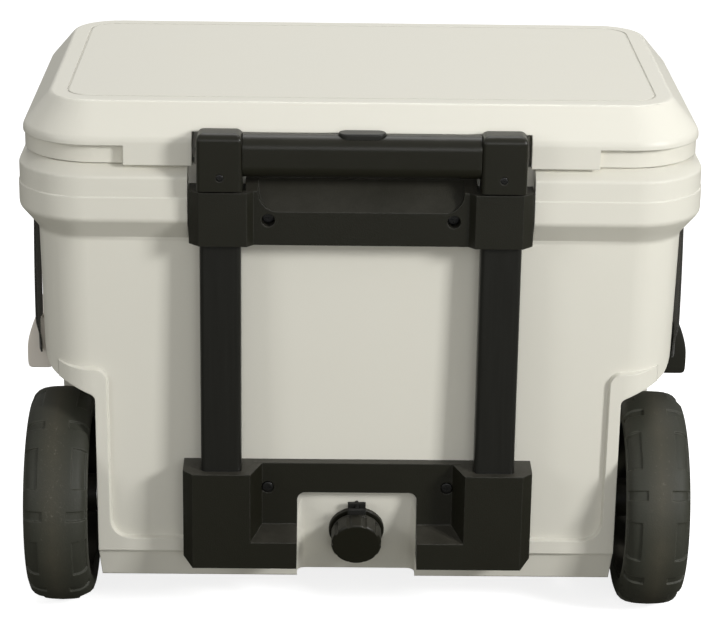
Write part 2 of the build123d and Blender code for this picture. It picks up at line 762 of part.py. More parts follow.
def grip_cap():
    """Right end cap of the grip, on top of the inner tube."""
    near = cap_near
    back = tube_near + 17.2
    x_in = tube_x - grip_cap_width / 2
    x_out = tube_x + grip_cap_width / 2
    block = box(x_in, x_out, near, back, cap_low_z, cap_top_z)
    uprights = block.edges().filter_by(Axis.Z)
    block = fillet(uprights, 3.5)
    arch = block.edges().filter_by(Axis.Y).sort_by(Axis.Z)[-2:]
    block = fillet(arch, 7.0)
    socket = tube_bar(smaller(inner_tube, -touch), cap_low_z - 1.0, inner_tube_high + touch, 2.2)
    foot = tube_bar(smaller(mid_tube, -1.0), cap_low_z - 1.0, mid_tube_high + 1.5, 4.0)
    bar_seat = Pos(x_in - 1.0, grip_mid_y, grip_mid_z) * extrude(
        grip_section(22.0, 14.0, 3.0), amount=7.5, dir=(1, 0, 0))
    screw_way = rod_y(2.6, near - 1.0, tube_mid_y, tube_x - 0.3, cap_low_z + 13.0)
    screw_seat = rod_y(3.6, near - 1.0, near + 1.6, tube_x - 0.3, cap_low_z + 13.0)
    return block - socket - foot - bar_seat - screw_way - screw_seat - link_way()


def link_way():
    """Slot that the release link passes through, from the grip bar into the right tube."""
    half = link_depth / 2 + 0.3
    return box(tube_x - grip_cap_width / 2 - 2.0, tube_x, link_mid_y - half, link_mid_y + half,
               link_low_z - button_travel - 1.0, link_top_z + 1.0)


def grip_cap_screw():
    """Small screw that pins the right cap to its tube."""
    near = cap_near
    x = tube_x - 0.3
    z = cap_low_z + 13.0
    shank_end = tube_mid_y - inner_tube[1] / 2 + inner_tube_wall
    head = rod_y(3.4, near + 0.3, near + 1.6, x, z)
    shank = rod_y(2.0, near + 1.6, shank_end, x, z)
    return head + shank - box(x - 2.2, x + 2.2, near, near + 0.8, z - 0.4, z + 0.4)


def grip_bar():
    """Hollow bar between the end caps, with the button's way and the link's channel."""
    half = tube_x - grip_cap_width / 2 - touch
    outside = Pos(-half, grip_mid_y, grip_mid_z) * extrude(
        grip_section(grip_height, grip_depth, 12.0), amount=2 * half, dir=(1, 0, 0))
    spigot_half = half + 4.5
    spigot = Pos(-spigot_half, grip_mid_y, grip_mid_z) * extrude(
        grip_section(21.6, 13.6, 2.8), amount=2 * spigot_half, dir=(1, 0, 0))
    channel = box(-spigot_half - 1.0, spigot_half + 1.0, grip_mid_y - 5.0, link_mid_y + link_depth / 2 + 0.3,
                  spring_floor_z, link_top_z + 1.0)
    way = SlotOverall(button_length + 2 * button_gap, button_width + 2 * button_gap)
    way = Pos(0, grip_mid_y, link_top_z - button_travel - 0.6) * extrude(way, amount=40.0)
    return outside + spigot - channel - way


def release_parts():
    """Button on the grip, the link under it, its spring and the two release rods."""
    cap = Pos(0, grip_mid_y, link_top_z + touch) * extrude(
        SlotOverall(button_length, button_width), amount=button_top_z - link_top_z - touch)
    cap = fillet(cap.edges().sort_by(Axis.Z)[-4:], 1.5)
    half = tube_x + 3.0
    link = box(-half, half, link_mid_y - link_depth / 2, link_mid_y + link_depth / 2, link_low_z, link_top_z)
    link += box(-button_length / 2, button_length / 2, grip_mid_y - 4.6, link_mid_y, link_low_z, link_top_z)
    coil_radius = 3.2
    wire = 0.6
    coil_low = spring_floor_z + wire + touch
    coil_high = link_low_z - wire - touch
    path = Pos(0, grip_mid_y, coil_low) * Helix(pitch=2.2, height=coil_high - coil_low, radius=coil_radius)
    section = Plane(path @ 0, z_dir=path % 0) * Circle(wire)
    keep("release_button", cap)
    keep("release_link", link)
    rod_low_z = inner_tube_low + 12.0
    rod = Pos(tube_x, link_mid_y, rod_low_z) * Cylinder(
        2.0, link_low_z - rod_low_z, align=(Align.CENTER, Align.CENTER, Align.MIN))
    keep("release_rods", both(rod))
    keep("button_spring", sweep(section, path=path, is_frenet=True))


def handle_parts():
    """Everything of the telescoping pull handle."""
    low_screw, high_screw = bracket_screws()
    keep("lower_bracket", lower_bracket())
    keep("upper_bracket", upper_bracket())
    keep("lower_bracket_screws", both(low_screw))
    keep("upper_bracket_screws", both(high_screw))
    keep_pair("outer_tube", tube(outer_tube, outer_tube_wall, outer_tube_low, outer_tube_high, tube_corner))
    keep_pair("mid_tube", tube(mid_tube, mid_tube_wall, mid_tube_low, mid_tube_high, tube_corner - 2.3))
    screw_way = rod_y(2.2, cap_near - 2.0, tube_mid_y, tube_x - 0.3, cap_low_z + 13.0)
    inner = tube(inner_tube, inner_tube_wall, inner_tube_low, inner_tube_high, 2.0)
    keep_pair("inner_tube", inner - screw_way - link_way())
    keep_pair("grip_cap", grip_cap())
    keep("grip_cap_screws", both(grip_cap_screw()))
    keep("grip_bar", grip_bar())
    release_parts()


# ================= drain =================
def drain_parts():
    """Spout, screw cap with its washer, and the tether that keeps the cap."""
    flange_face = 4.0
    ring_low = flange_face + 0.4
    ring_high = ring_low + 2.6
    cap_low = ring_high + 0.3
    spout_end = cap_low + drain_cap_length - 8.0
    inner_end = -52.0
    neck_radius = spout_radius - 1.5
    flange = drain_round(drain_flange_radius, 0.15, flange_face)
    flange = fillet(flange.edges().filter_by(GeomType.CIRCLE).sort_by(Axis.Y)[0], 1.0)
    spout = flange + drain_round(spout_tail_radius, inner_end, 0.15) + drain_round(neck_radius, flange_face, spout_end)
    spout -= drain_round(drain_bore_radius, inner_end - 5.0, spout_end + 5.0)
    keep("drain_spout", spout - cavity(-0.1))

    cap_high = cap_low + drain_cap_length
    cap = drain_round(drain_cap_radius, cap_low, cap_high)
    outer_edge = cap.edges().filter_by(GeomType.CIRCLE).sort_by(Axis.Y)[0]
    cap = fillet(outer_edge, 2.5)
    cap -= drain_round(neck_radius + 0.3, cap_low - 1.0, spout_end + 2.4)
    ribs = 10
    for index in range(ribs):
        angle = 2 * pi * index / ribs
        x = (drain_cap_radius + 2.4) * cos(angle)
        y = (drain_cap_radius + 2.4) * sin(angle)
        cap -= drain_plane(cap_low + 2.5) * Pos(x, y, 8.0) * Cylinder(3.8, 16.0)
    keep("drain_cap", cap)
    washer = drain_round(neck_radius, spout_end + 0.6, spout_end + 2.3)
    washer -= drain_round(drain_bore_radius - 3.0, spout_end, spout_end + 3.0)
    keep("drain_washer", washer)

    strap_half = 8.7
    reach = 37.0
    tether = drain_round(drain_cap_radius - 2.0, ring_low, ring_high)
    tether += drain_plane(ring_low) * Pos(0, reach / 2, 1.3) * Box(2 * strap_half, reach, 2.6)
    tether -= drain_round(neck_radius + 0.4, ring_low - 1.0, ring_high + 1.0)
    tether -= drain_plane(ring_low) * Pos(0, reach - 3.2, 1.3) * Cylinder(1.9, 10.0)
    keep("drain_tether", tether)
    anchor = drain_plane(0.15) * Pos(0, reach - 3.2, 6.8) * Cylinder(1.7, 13.6)
    anchor_head = drain_plane(13.0) * Pos(0, reach - 3.2, 2.0) * Box(2 * strap_half, 7.0, 3.2)
    anchor += fillet(anchor_head.edges(), 1.0)
    keep("tether_anchor", anchor - drain_round(drain_flange_radius + 0.1, -1.0, flange_face + 0.1))


# ================= wheels =================
def revolve_on_wheel(points):
    """Ring round the right wheel's axle from (x, radius) points."""
    corners = [Vector(x, 0, radius) for x, radius in points]
    face = make_face(Polyline(*corners, close=True))
    return Pos(0, wheel_y, wheel_z) * revolve(face, axis=Axis.X)


def tread_window(arc, x_edge, width, angle):
    """Shallow recess in the tread's shoulder, as a cutting block."""
    length = 2 * wheel_radius * sin(radians(arc / 2))
    height = 12.0
    block = Box(width, length, height)
    block = fillet(block.edges().filter_by(Axis.Z), 2.5)
    low = wheel_radius - tread_depth + height / 2
    return Pos(x_edge, wheel_y, wheel_z) * Rot(angle, 0, 0) * Pos(0, 0, low) * block


def tyre():
    """Right tyre: a moulded tread with alternating long and short shoulder windows."""
    x0 = wheel_inner_x
    x1 = wheel_inner_x + wheel_width
    bore = wheel_radius - tyre_thickness
    shoulder = 9.0
    body = revolve_on_wheel([
        (x0 + 3.0, bore), (x1 - 3.0, bore), (x1, bore + 5.0), (x1 - 2.0, wheel_radius - 11.0),
        (x1 - shoulder, wheel_radius - 1.6), (x1 - 20.0, wheel_radius), (x0 + 20.0, wheel_radius),
        (x0 + shoulder, wheel_radius - 1.6), (x0 + 2.0, wheel_radius - 11.0), (x0, bore + 5.0)])
    step = 360.0 / tread_repeats
    long_arc = 24.0
    short_arc = 7.5
    cutters = []
    for index in range(tread_repeats):
        for x_edge in (x0, x1):
            cutters.append(tread_window(long_arc, x_edge, 34.0, index * step))
            cutters.append(tread_window(short_arc, x_edge, 42.0, (index + 0.5) * step))
    return body - cutters


def hub():
    """Right hub: a barrel on the axle, a disc with windows and a rim under the tyre."""
    x0 = wheel_inner_x
    x1 = wheel_inner_x + wheel_width
    bore = wheel_radius - tyre_thickness
    inner = axle_radius + axle_clearance
    outer_ring = revolve_on_wheel([(x0 + 3.0, bore), (x1 - 3.0, bore), (x1 - 3.0, bore - 4.0),
                                   (x0 + 3.0, bore - 4.0)])
    disc = revolve_on_wheel([(x1 - 30.0, inner + 4.0), (x1 - 30.0, bore - 2.0), (x1 - 25.0, bore - 2.0),
                             (x1 - 17.0, inner + 14.0), (x1 - 17.0, inner + 4.0)])
    barrel = revolve_on_wheel([(x0 - 1.5, inner), (x0 - 1.5, inner + 11.0), (x1 - 15.0, inner + 11.0),
                               (x1 - 15.0, inner)])
    wheel = outer_ring + disc + barrel
    windows = 6
    for index in range(windows):
        angle = 360.0 * index / windows
        hole = Box(30.0, 26.0, 28.0)
        hole = fillet(hole.edges().filter_by(Axis.X), 7.0)
        wheel -= Pos(x1 - 24.0, wheel_y, wheel_z) * Rot(angle, 0, 0) * Pos(0, 0, bore - 27.0) * hole
    return wheel


def wheel_parts():
    """Both wheels with their stub axles, washers, nuts and hub caps."""
    x0 = wheel_inner_x
    x1 = wheel_inner_x + wheel_width
    barrel_end = x1 - 15.0
    inner = axle_radius + axle_clearance
    axle = rod_x(axle_radius, axle_root_x, barrel_end + 8.0, wheel_y, wheel_z)
    axle += rod_x(22.0, well_wall_x + 0.15, well_wall_x + 2.6, wheel_y, wheel_z)
    washer_in = revolve_on_wheel([(x0 - 4.2, inner), (x0 - 4.2, 15.0), (x0 - 1.8, 15.0), (x0 - 1.8, inner)])
    washer_out = revolve_on_wheel([(barrel_end + 0.3, inner), (barrel_end + 0.3, 15.0),
                                   (barrel_end + 2.0, 15.0), (barrel_end + 2.0, inner)])
    nut_face = Plane.YZ * RegularPolygon(12.0, 6)
    nut = Pos(barrel_end + 2.2, wheel_y, wheel_z) * extrude(nut_face, amount=5.6, dir=(1, 0, 0))
    nut -= rod_x(axle_radius, barrel_end, barrel_end + 20.0, wheel_y, wheel_z)
    cap_rim = inner + 11.0
    cap = revolve_on_wheel([(barrel_end - 5.0, cap_rim + 0.1), (barrel_end - 5.0, cap_rim + 3.5),
                            (x1 - 5.5, cap_rim + 3.5), (x1 - 2.5, cap_rim - 4.0), (x1 - 2.0, 0.0),
                            (x1 - 4.6, 0.0), (x1 - 5.1, cap_rim - 5.0), (x1 - 7.6, cap_rim + 0.1)])
    socket = rod_x(cap_rim + 3.6, barrel_end - 5.1, x1, wheel_y, wheel_z)
    keep_pair("tyre", tyre())
    keep_pair("wheel_hub", hub() - socket + hub_barrel())
    keep_pair("hub_cap", cap)
    keep_pair("axle", axle)
    keep("axle_washers", both(washer_in) + both(washer_out))
    keep("axle_nuts", both(nut))


def hub_barrel():
    """The hub's sleeve on the axle."""
    inner = axle_radius + axle_clearance
    x1 = wheel_inner_x + wheel_width
    return revolve_on_wheel([(x1 - 32.0, inner), (x1 - 32.0, inner + 11.0), (x1 - 15.0, inner + 11.0),
                             (x1 - 15.0, inner)])


# ================= feet =================
def foot():
    """Right rubber foot at the far end of the base."""
    x = rim_length / 2 - 92.0
    y = rim_far - wall_setback - wall_draft - 44.0
    top = base_z - touch
    block = loft([Pos(x, y, 0) * RectangleRounded(70.0, 40.0, 12.0),
                  Pos(x, y, top) * RectangleRounded(84.0, 52.0, 14.0)])
    return fillet(block.edges().group_by(Axis.Z)[0], 3.0)


# ================= carry handles =================
carry_mid_y = rim_mid_y
carry_pin_z = wall_top_z + 5.0
carry_pin_x = rim_length / 2 - wall_setback + 10.5


def carry_places():
    """Y places of one handle's two straps."""
    return [carry_mid_y - carry_span / 2, carry_mid_y + carry_span / 2]


def carry_parts():
    """Right carry handle: lugs under the rim, pins, webbing straps and a grip."""
    lug_gap = 0.4
    lug_thickness = 3.0
    eye = carry_pin_radius + carry_pin_clearance
    lugs = []
    pins = []
    straps = []
    grip_z = carry_pin_z - carry_drop
    grip_top = grip_z + carry_grip_height / 2
    stand = tub_form(-touch)
    for y in carry_places():
        edge = carry_strap_width / 2
        for side in (-1, 1):
            near = min(y + side * (edge + lug_gap), y + side * (edge + lug_gap + lug_thickness))
            lug = rod_y(4.6, near, near + lug_thickness, carry_pin_x, carry_pin_z)
            lug += box(carry_pin_x - 4.6, carry_pin_x + 4.6, near, near + lug_thickness,
                       carry_pin_z, carry_pin_z + 24.0)
            lugs.append(lug - stand - rod_y(carry_pin_radius, y - 40.0, y + 40.0, carry_pin_x, carry_pin_z))
        reach = edge + lug_gap + lug_thickness
        pins.append(rod_y(carry_pin_radius, y - reach, y + reach, carry_pin_x, carry_pin_z))
        strap = rod_y(eye + 1.6, y - edge, y + edge, carry_pin_x, carry_pin_z)
        strap += box(carry_pin_x - carry_strap_thickness / 2, carry_pin_x + carry_strap_thickness / 2,
                     y - edge, y + edge, grip_top - 8.0, carry_pin_z)
        straps.append(strap - rod_y(eye, y - edge - 1.0, y + edge + 1.0, carry_pin_x, carry_pin_z))
    grip = box(carry_pin_x - carry_grip_width / 2, carry_pin_x + carry_grip_width / 2,
               carry_mid_y - carry_grip_length / 2, carry_mid_y + carry_grip_length / 2,
               grip_z - carry_grip_height / 2, grip_top)
    grip = fillet(grip.edges().filter_by(Axis.Y), 8.0)
    grip = fillet(grip.edges().filter_by(GeomType.LINE).group_by(Axis.Y)[0], 0.6)
    for strap in straps:
        grip -= strap
    return lugs, pins, straps, grip


def group(solids):
    """Separate solids of one kind, as one node."""
    return Part() + solids


def carry_handles():
    """Both carry handles."""
    lugs, pins, straps, grip = carry_parts()
    keep_pair("carry_lugs", group(lugs))
    keep_pair("carry_pins", group(pins))
    keep_pair("carry_straps", group(straps))
    keep_pair("carry_grip", grip)


tub_parts()
lid_parts()
hinge_parts()
handle_parts()
drain_parts()
wheel_parts()
keep_pair("foot", foot())
carry_handles()

for name, part in nodes.items():
    export_step(part, f"parts/{name}.step")
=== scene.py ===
import json
import math
import bpy
import bmesh
from mathutils import Matrix, Vector


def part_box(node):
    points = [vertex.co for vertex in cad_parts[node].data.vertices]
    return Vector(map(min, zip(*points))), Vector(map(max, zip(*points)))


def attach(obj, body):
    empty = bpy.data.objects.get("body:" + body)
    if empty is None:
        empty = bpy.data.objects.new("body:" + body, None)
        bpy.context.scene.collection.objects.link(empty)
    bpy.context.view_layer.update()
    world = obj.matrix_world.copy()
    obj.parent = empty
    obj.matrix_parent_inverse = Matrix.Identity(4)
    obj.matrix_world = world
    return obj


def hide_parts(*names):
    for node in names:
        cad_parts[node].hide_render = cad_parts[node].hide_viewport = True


# Hard cooler on two wheels with a telescoping pull handle. Metres, floor at z = 0,
# -Y is the handle side and +X is the right-hand side seen from there.

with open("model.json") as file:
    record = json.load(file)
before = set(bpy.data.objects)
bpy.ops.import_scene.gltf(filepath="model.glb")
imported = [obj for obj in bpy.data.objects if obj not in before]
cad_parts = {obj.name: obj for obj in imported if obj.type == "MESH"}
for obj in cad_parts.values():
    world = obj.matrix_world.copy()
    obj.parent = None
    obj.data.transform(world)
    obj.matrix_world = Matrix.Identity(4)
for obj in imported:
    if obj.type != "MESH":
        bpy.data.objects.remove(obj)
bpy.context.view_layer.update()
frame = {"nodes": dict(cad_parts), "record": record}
scene = bpy.context.scene
MM = 0.001
MERGE_DISTANCE = 0.02 * MM
FLAT_ANGLE = math.radians(0.6)


# ================= working helpers =================
def body_name(node):
    """The body that a CAD node belongs to."""
    for name, members in frame["record"]["behaviour"]["bodies"].items():
        if node in members:
            return name
    raise ValueError(node)


def clear_selection():
    bpy.ops.object.select_all(action="DESELECT")


def make_active(piece):
    """Select one object and nothing else."""
    clear_selection()
    piece.select_set(True)
    bpy.context.view_layer.objects.active = piece


def apply_modifiers(piece):
    make_active(piece)
    for modifier in list(piece.modifiers):
        bpy.ops.object.modifier_apply(modifier=modifier.name)


def set_material(piece, material):
    piece.data.materials.clear()
    piece.data.materials.append(material)


def smooth(piece, degrees=32.0):
    make_active(piece)
    bpy.ops.object.shade_smooth_by_angle(angle=math.radians(degrees))


def settle(piece):
    """Put the piece's place into its mesh."""
    make_active(piece)
    bpy.ops.object.transform_apply(location=True, rotation=True, scale=True)


def dress(node, material):
    """Give a CAD node that stays as it is a better material."""
    piece = frame["nodes"][node]
    if piece.data.materials:
        for index in range(len(piece.data.materials)):
            piece.data.materials[index] = material
    else:
        piece.data.materials.append(material)


def finish_moulding(node, material, width, segments=3, angle=30.0, shading=34.0):
    """A merged copy of a CAD node with its hard edges rounded; it replaces the node."""
    source = frame["nodes"][node]
    piece = source.copy()
    piece.data = source.data.copy()
    piece.name = node + "_moulding"
    piece.parent = None
    piece.matrix_world = Matrix.Identity(4)
    bpy.context.collection.objects.link(piece)
    make_active(piece)
    bpy.ops.object.mode_set(mode="EDIT")
    bpy.ops.mesh.select_all(action="SELECT")
    bpy.ops.mesh.remove_doubles(threshold=MERGE_DISTANCE)
    bpy.ops.mesh.dissolve_limited(angle_limit=FLAT_ANGLE)
    bpy.ops.object.mode_set(mode="OBJECT")
    bevel = piece.modifiers.new("rounding", "BEVEL")
    bevel.width = width
    bevel.segments = segments
    bevel.limit_method = "ANGLE"
    bevel.angle_limit = math.radians(angle)
    bevel.use_clamp_overlap = True
    bevel.miter_outer = "MITER_ARC"
    apply_modifiers(piece)
    set_material(piece, material)
    smooth(piece, shading)
    even_normals(piece)
    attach(piece, body_name(node))
    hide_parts(node)
    return piece


def even_normals(piece):
    """Shade the large flat faces as flat ones."""
    weighted = piece.modifiers.new("flat_faces", "WEIGHTED_NORMAL")
    weighted.keep_sharp = True
    weighted.weight = 60
    apply_modifiers(piece)


# ================= shader effects =================
def new_group(name, inputs, outputs):
    """Empty shader group with named float inputs and named outputs."""
    group = bpy.data.node_groups.new(name, "ShaderNodeTree")
    for label, default in inputs:
        socket = group.interface.new_socket(label, in_out="INPUT", socket_type="NodeSocketFloat")
        socket.default_value = default
    for label in outputs:
        group.interface.new_socket(label, in_out="OUTPUT", socket_type="NodeSocketFloat")
    source = group.nodes.new("NodeGroupInput")
    target = group.nodes.new("NodeGroupOutput")
    return group, source, target


def math_node(tree, operation, first, second=None, clamp=False):
    node = tree.nodes.new("ShaderNodeMath")
    node.operation = operation
    node.use_clamp = clamp
    for index, value in enumerate((first, second)):
        if value is None:
            continue
        if isinstance(value, (int, float)):
            node.inputs[index].default_value = value
        else:
            tree.links.new(value, node.inputs[index])
    return node.outputs[0]


def noise_node(tree, vector, scale, detail=3.0, roughness=0.5):
    node = tree.nodes.new("ShaderNodeTexNoise")
    node.inputs["Detail"].default_value = detail
    node.inputs["Roughness"].default_value = roughness
    if isinstance(scale, (int, float)):
        node.inputs["Scale"].default_value = scale
    else:
        tree.links.new(scale, node.inputs["Scale"])
    tree.links.new(vector, node.inputs["Vector"])
    return node.outputs["Fac"]


def object_coordinates(tree):
    return tree.nodes.new("ShaderNodeTexCoord").outputs["Object"]


def build_grain():
    """Moulding grain: a fine pebbled height, with its size and unevenness."""
    group, source, target = new_group("moulding_grain", [("Scale", 900.0), ("Unevenness", 0.4)], ["Height"])
    place = object_coordinates(group)
    fine = noise_node(group, place, source.outputs["Scale"], 2.0, 0.55)
    cell = group.nodes.new("ShaderNodeTexVoronoi")
    cell.feature = "SMOOTH_F1"
    group.links.new(place, cell.inputs["Vector"])
    group.links.new(math_node(group, "MULTIPLY", source.outputs["Scale"], 0.8), cell.inputs["Scale"])
    wide = noise_node(group, place, 14.0, 2.0)
    pebble = math_node(group, "ADD", fine, math_node(group, "MULTIPLY", cell.outputs["Distance"], 0.6))
    swell = math_node(group, "MULTIPLY", wide, source.outputs["Unevenness"])
    group.links.new(math_node(group, "ADD", pebble, swell), target.inputs["Height"])
    return group


def build_mottle():
    """Slow variation of tone over a moulding, from 0 to 1."""
    group, source, target = new_group("tone_mottle", [("Scale", 5.0)], ["Tone"])
    place = object_coordinates(group)
    wide = noise_node(group, place, source.outputs["Scale"], 3.0, 0.55)
    small = noise_node(group, place, math_node(group, "MULTIPLY", source.outputs["Scale"], 9.0), 2.0)
    wide = math_node(group, "MULTIPLY", wide, 0.75)
    mixed = math_node(group, "ADD", wide, math_node(group, "MULTIPLY", small, 0.25))
    group.links.new(mixed, target.inputs["Tone"])
    return group


def build_specks():
    """Small scuffs and specks: a sparse mask from 0 to 1."""
    group, source, target = new_group("specks", [("Scale", 160.0), ("Amount", 0.3)], ["Mask"])
    place = object_coordinates(group)
    dots = noise_node(group, place, source.outputs["Scale"], 4.0, 0.7)
    patch = noise_node(group, place, 11.0, 2.0)
    level = math_node(group, "SUBTRACT", 0.86, math_node(group, "MULTIPLY", source.outputs["Amount"], 0.4))
    dots = math_node(group, "ADD", dots, math_node(group, "MULTIPLY", patch, 0.25))
    raised = math_node(group, "SUBTRACT", dots, level)
    group.links.new(math_node(group, "MULTIPLY", raised, 9.0, clamp=True), target.inputs["Mask"])
    return group


def build_dust():
    """Dust that lies on faces that look up: a mask from 0 to 1."""
    group, source, target = new_group("settled_dust", [("Amount", 0.5), ("Scale", 40.0)], ["Mask"])
    geometry = group.nodes.new("ShaderNodeNewGeometry")
    split = group.nodes.new("ShaderNodeSeparateXYZ")
    group.links.new(geometry.outputs["Normal"], split.inputs[0])
    upward = math_node(group, "MAXIMUM", math_node(group, "SUBTRACT", split.outputs["Z"], 0.25), 0.0)
    cloud = noise_node(group, object_coordinates(group), source.outputs["Scale"], 5.0, 0.65)
    cover = math_node(group, "MULTIPLY", upward, cloud)
    mask = math_node(group, "MULTIPLY", cover, source.outputs["Amount"], clamp=True)
    group.links.new(mask, target.inputs["Mask"])
    return group


def build_edge_wear_and_highlight():
    """Rounded edges: the softened normal, and a broken-up mask of the edges from 0 to 1, which colours them
    as wear and as painted highlight.
    """
    inputs = [("Amount", 0.5), ("Scale", 120.0), ("Radius", 1.0 * MM)]
    group, source, target = new_group("edge_wear_and_painted_highlight", inputs, ["Mask"])
    group.interface.new_socket("Normal", in_out="OUTPUT", socket_type="NodeSocketVector")
    softened = group.nodes.new("ShaderNodeBevel")
    softened.samples = 6
    group.links.new(source.outputs["Radius"], softened.inputs["Radius"])
    geometry = group.nodes.new("ShaderNodeNewGeometry")
    alike = group.nodes.new("ShaderNodeVectorMath")
    alike.operation = "DOT_PRODUCT"
    group.links.new(softened.outputs["Normal"], alike.inputs[0])
    group.links.new(geometry.outputs["Normal"], alike.inputs[1])
    turned = math_node(group, "SUBTRACT", 0.997, alike.outputs["Value"])
    turned = math_node(group, "MULTIPLY", turned, 22.0, clamp=True)
    broken = noise_node(group, object_coordinates(group), source.outputs["Scale"], 4.0, 0.7)
    # The edge mask, broken by noise, marks worn edges and painted highlight.
    worn_and_highlit = math_node(group, "MULTIPLY", turned, math_node(group, "MULTIPLY", broken, broken))
    mask = math_node(group, "MULTIPLY", worn_and_highlit, source.outputs["Amount"], clamp=True)
    group.links.new(mask, target.inputs["Mask"])
    group.links.new(softened.outputs["Normal"], target.inputs["Normal"])
    return group


def build_weave():
    """Woven webbing: picks across the width and ribs along the length, as a height; Shade lightens the raised
    threads and darkens the hollows, which is painted shade.
    """
    inputs = [("Picks", 900.0), ("Ribs", 1500.0)]
    group, source, target = new_group("webbing_weave", inputs, ["Height", "Shade"])
    split = group.nodes.new("ShaderNodeSeparateXYZ")
    coordinates = group.nodes.new("ShaderNodeTexCoord")
    group.links.new(coordinates.outputs["Object"], split.inputs[0])
    along = math_node(group, "MULTIPLY", split.outputs["Z"], source.outputs["Picks"])
    across = math_node(group, "MULTIPLY", split.outputs["Y"], source.outputs["Ribs"])
    lean = math_node(group, "ADD", along, math_node(group, "MULTIPLY", across, 0.5))
    pick = math_node(group, "ABSOLUTE", math_node(group, "SINE", lean))
    rib = math_node(group, "ABSOLUTE", math_node(group, "SINE", across))
    height = math_node(group, "MULTIPLY", pick, math_node(group, "ADD", rib, 0.35))
    group.links.new(height, target.inputs["Height"])
    # Painted shade: darker in the weave's hollows, lighter on its raised threads.
    group.links.new(math_node(group, "MULTIPLY", height, 0.7, clamp=True), target.inputs["Shade"])
    return group


GRAIN = build_grain()
MOTTLE = build_mottle()
SPECKS = build_specks()
DUST = build_dust()
EDGE_WEAR_AND_HIGHLIGHT = build_edge_wear_and_highlight()
WEAVE = build_weave()


def add_group(tree, group, **values):
    node = tree.nodes.new("ShaderNodeGroup")
    node.node_tree = group
    for label, value in values.items():
        node.inputs[label].default_value = value
    return node.outputs


def mix_colour(tree, mask, first, second):
    node = tree.nodes.new("ShaderNodeMix")
    node.data_type = "RGBA"
    tree.links.new(mask, node.inputs[0])
    for socket, colour in ((node.inputs[6], first), (node.inputs[7], second)):
        if isinstance(colour, tuple):
            socket.default_value = (*colour, 1.0)
        else:
            tree.links.new(colour, socket)
    return node.outputs[2]


def bump(tree, height, strength, distance, shader, normal=None):
    node = tree.nodes.new("ShaderNodeBump")
    if normal is not None:
        tree.links.new(normal, node.inputs["Normal"])
    node.inputs["Strength"].default_value = strength
    node.inputs["Distance"].default_value = distance
    tree.links.new(height, node.inputs["Height"])
    tree.links.new(node.outputs["Normal"], shader.inputs["Normal"])


def new_material(name):
    material = bpy.data.materials.new(name)
    material.use_nodes = True
    tree = material.node_tree
    shader = tree.nodes["Principled BSDF"]
    return material, tree, shader


def moulded_plastic(name, colour, tint, rough, grain_scale, grain_strength, wear_and_highlight, dust=0.0, specular=0.3,
                    rounding=1.4 * MM):
    """Injection-moulded plastic: mottled tone, fine grain, softened edges coloured as wear and painted
    highlight, and dust.
    """
    material, tree, shader = new_material(name)
    tone = add_group(tree, MOTTLE, Scale=4.0)["Tone"]
    shade = mix_colour(tree, tone, colour, tint)
    edges = add_group(tree, EDGE_WEAR_AND_HIGHLIGHT, Amount=wear_and_highlight[1], Scale=160.0, Radius=rounding)
    # The edges take the edge colour: worn colour and painted highlight.
    shade = mix_colour(tree, edges["Mask"], shade, wear_and_highlight[0])
    if dust > 0:
        film = add_group(tree, DUST, Amount=dust, Scale=30.0)["Mask"]
        shade = mix_colour(tree, film, shade, (0.30, 0.28, 0.24))
    tree.links.new(shade, shader.inputs["Base Color"])
    grain = add_group(tree, GRAIN, Scale=grain_scale, Unevenness=0.25)["Height"]
    rough_low = math_node(tree, "MULTIPLY", tone, 0.12)
    tree.links.new(math_node(tree, "ADD", rough_low, rough - 0.06), shader.inputs["Roughness"])
    shader.inputs["Specular IOR Level"].default_value = specular
    bump(tree, grain, grain_strength, 0.0004, shader, edges["Normal"])
    return material


def tyre_rubber():
    """Hard tyre: charcoal rubber, brown dust along the tread's middle, pale scuffs, and pale edges that are
    wear and painted highlight.
    """
    material, tree, shader = new_material("tyre_rubber_used")
    place = object_coordinates(tree)
    split = tree.nodes.new("ShaderNodeSeparateXYZ")
    tree.links.new(place, split.inputs[0])
    low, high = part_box("tyre_right")
    middle = (low[0] + high[0]) / 2
    sideways = math_node(tree, "ABSOLUTE", split.outputs["X"])
    off_centre = math_node(tree, "ABSOLUTE", math_node(tree, "SUBTRACT", sideways, middle))
    band = math_node(tree, "SUBTRACT", 1.0, math_node(tree, "MULTIPLY", off_centre, 62.0), clamp=True)
    cloud = noise_node(tree, place, 26.0, 6.0, 0.7)
    dusty = math_node(tree, "MULTIPLY", band, math_node(tree, "MULTIPLY", cloud, 1.35), clamp=True)
    tone = add_group(tree, MOTTLE, Scale=12.0)["Tone"]
    base = mix_colour(tree, tone, (0.027, 0.028, 0.020), (0.042, 0.043, 0.033))
    base = mix_colour(tree, dusty, base, (0.062, 0.057, 0.040))
    specks = add_group(tree, SPECKS, Scale=330.0, Amount=0.30)["Mask"]
    share = math_node(tree, "ADD", math_node(tree, "MULTIPLY", band, 0.30), 0.10)
    marks = math_node(tree, "MULTIPLY", specks, share)
    base = mix_colour(tree, marks, base, (0.17, 0.162, 0.128))
    # Paler edges: wear and painted highlight.
    edges = add_group(tree, EDGE_WEAR_AND_HIGHLIGHT, Amount=1.0, Scale=90.0, Radius=1.2 * MM)
    base = mix_colour(tree, edges["Mask"], base, (0.16, 0.158, 0.130))
    tree.links.new(base, shader.inputs["Base Color"])
    rough = math_node(tree, "ADD", math_node(tree, "MULTIPLY", cloud, 0.25), 0.46)
    tree.links.new(rough, shader.inputs["Roughness"])
    shader.inputs["Specular IOR Level"].default_value = 0.3
    grain = add_group(tree, GRAIN, Scale=650.0, Unevenness=1.2)["Height"]
    bump(tree, grain, 0.22, 0.0006, shader, edges["Normal"])
    return material


